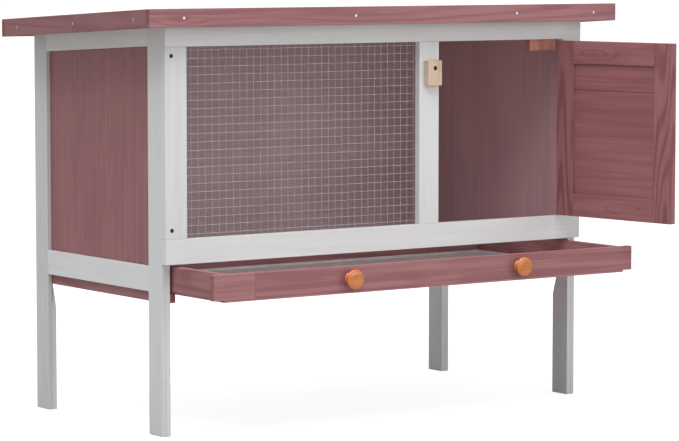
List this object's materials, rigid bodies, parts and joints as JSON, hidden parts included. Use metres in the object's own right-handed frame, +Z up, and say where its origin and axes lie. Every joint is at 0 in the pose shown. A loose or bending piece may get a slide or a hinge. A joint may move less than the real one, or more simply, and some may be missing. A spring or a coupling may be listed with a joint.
{
  "type": "rabbit hutch",
  "caption": "Raised wooden rabbit hutch: framed cabin on four legs, sloping roof, wire-mesh window, hinged door with turn button, slide-out tray floor.",
  "frame": {"origin": "centre of the bottom of the bounding box, on the ground, with the door open and the tray part out as modelled", "axes": "+X to the right seen from the front, +Y to the rear, +Z up"},
  "size_m": [0.9, 0.6702, 0.65],
  "materials": {
    "red_stain": "translucent red wood stain, matt",
    "white_paint": "thin off-white paint over timber",
    "bare_pine": "planed bare softwood",
    "varnished_wood": "orange varnish, semi-gloss",
    "steel": "zinc plated",
    "galvanised_wire": "galvanised wire, dull",
    "galvanised_sheet": "galvanised sheet, dull",
    "roof_felt": "mineral-surfaced bitumen felt"
  },
  "bodies": {
    "cabin": {"front_bottom_rail": "white_paint", "front_top_rail": "white_paint", "front_stile_left": "white_paint", "front_stile_right": "white_paint", "front_mullion": "white_paint", "wire_mesh": "galvanised_wire", "mesh_staples": "galvanised_wire", "front_frame_screws": "steel", "door_stop_block": "bare_pine", "leg_front_left": "white_paint", "leg_batten_front_left": "white_paint", "leg_rear_left": "white_paint", "leg_batten_rear_left": "white_paint", "side_top_rail_left": "white_paint", "side_bottom_rail_left": "white_paint", "side_panel_left": "red_stain", "tray_runner_left": "red_stain", "tray_ledge_left": "red_stain", "leg_front_right": "white_paint", "leg_batten_front_right": "white_paint", "leg_rear_right": "white_paint", "leg_batten_rear_right": "white_paint", "side_top_rail_right": "white_paint", "side_bottom_rail_right": "white_paint", "side_panel_right": "red_stain", "tray_runner_right": "red_stain", "tray_ledge_right": "red_stain", "back_panel": "red_stain", "back_top_rail": "white_paint", "back_bottom_rail": "white_paint", "roof_fascia_front": "red_stain", "roof_fascia_rear": "red_stain", "roof_fascia_left": "red_stain", "roof_fascia_right": "red_stain", "roof_felt": "roof_felt", "roof_boards": "bare_pine", "fascia_nails": "steel", "turn_button_screw": "steel", "hinge_leaves_frame": "steel", "hinge_screws_frame": "steel", "hinge_pins": "steel"},
    "door": {"door_stile_latch": "red_stain", "door_stile_hinge": "red_stain", "door_rail_top": "red_stain", "door_rail_bottom": "red_stain", "door_panel": "red_stain", "hinge_leaves_door": "steel", "hinge_screws_door": "steel"},
    "tray": {"tray_front_board": "red_stain", "tray_back_board": "red_stain", "tray_side_left": "red_stain", "tray_side_right": "red_stain", "tray_bottom": "red_stain", "tray_liner": "galvanised_sheet", "tray_knob_left": "varnished_wood", "tray_knob_right": "varnished_wood", "knob_screws": "steel"},
    "button": {"turn_button": "bare_pine"}
  },
  "joints": [
    {"name": "door_hinge", "type": "hinge", "parent": "cabin", "child": "door", "pos_m": [0.3635, -0.08486, 0.44675], "axis": [0, 0, 1], "range_deg": [-97, 73]},
    {"name": "tray_slide", "type": "slide", "parent": "cabin", "child": "tray", "axis": [0, -1, 0], "range_m": [-0.1335, 0.17]},
    {"name": "button_turn", "type": "hinge", "parent": "cabin", "child": "button", "pos_m": [0.0955, -0.08766, 0.55], "axis": [0, -1, 0], "continuous": true}
  ]
}
